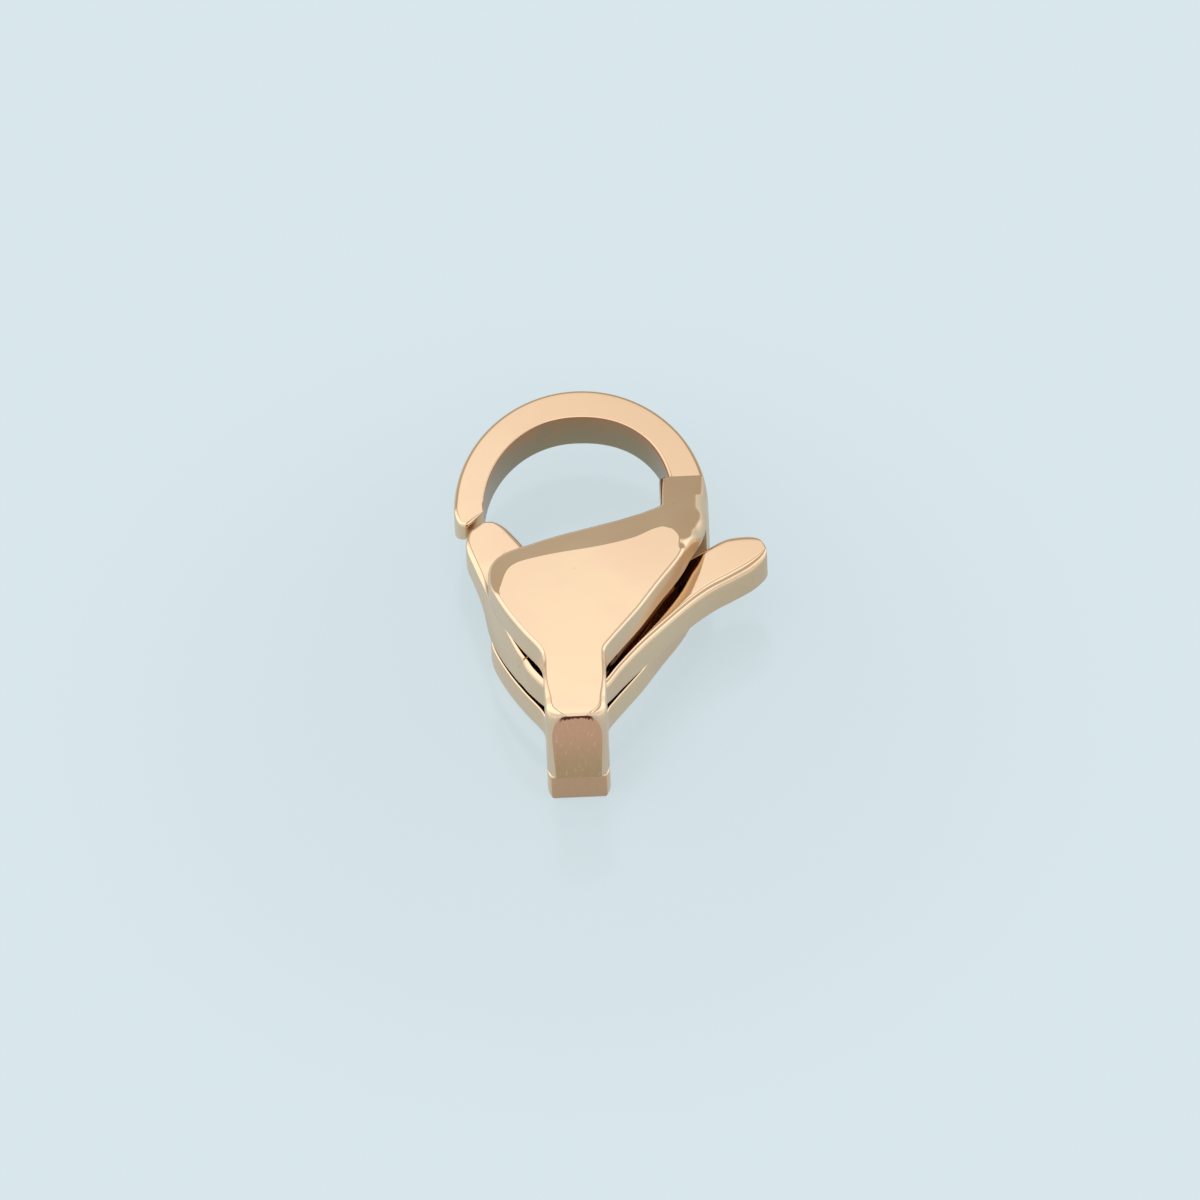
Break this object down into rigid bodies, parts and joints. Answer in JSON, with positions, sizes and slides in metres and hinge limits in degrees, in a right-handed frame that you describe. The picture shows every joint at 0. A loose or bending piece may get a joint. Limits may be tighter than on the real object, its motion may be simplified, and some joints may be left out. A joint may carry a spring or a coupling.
{
  "type": "lobster clasp",
  "caption": "Rose-gold coloured lobster clasp: hook, plates and tail loop in one casting, with a sprung lever whose gate closes the hook and whose thumb tab opens it.",
  "frame": {"origin": "on the back face, at the axis of the lever's pivot", "axes": "+Y towards the top of the hook, +X towards the thumb tab, +Z out of the front face"},
  "size_m": [0.008, 0.0118, 0.0034],
  "materials": {
    "rose_gold": "polished rose-gold coloured plating on stainless steel, ground dull on the tail's end",
    "lever_rose_gold": "polished rose-gold coloured plating on stainless steel",
    "pin_steel": "plain drawn steel wire"
  },
  "bodies": {
    "clasp": {"clasp_body": "rose_gold", "pivot_pin": "pin_steel"},
    "lever": {"lever": "lever_rose_gold"}
  },
  "joints": [
    {"name": "lever_pivot", "type": "hinge", "parent": "clasp", "child": "lever", "pos_m": [0, 0, 0.0017], "axis": [0, 0, -1], "range_deg": [0, 24], "stiffness_Nm_per_rad": 0.004}
  ]
}
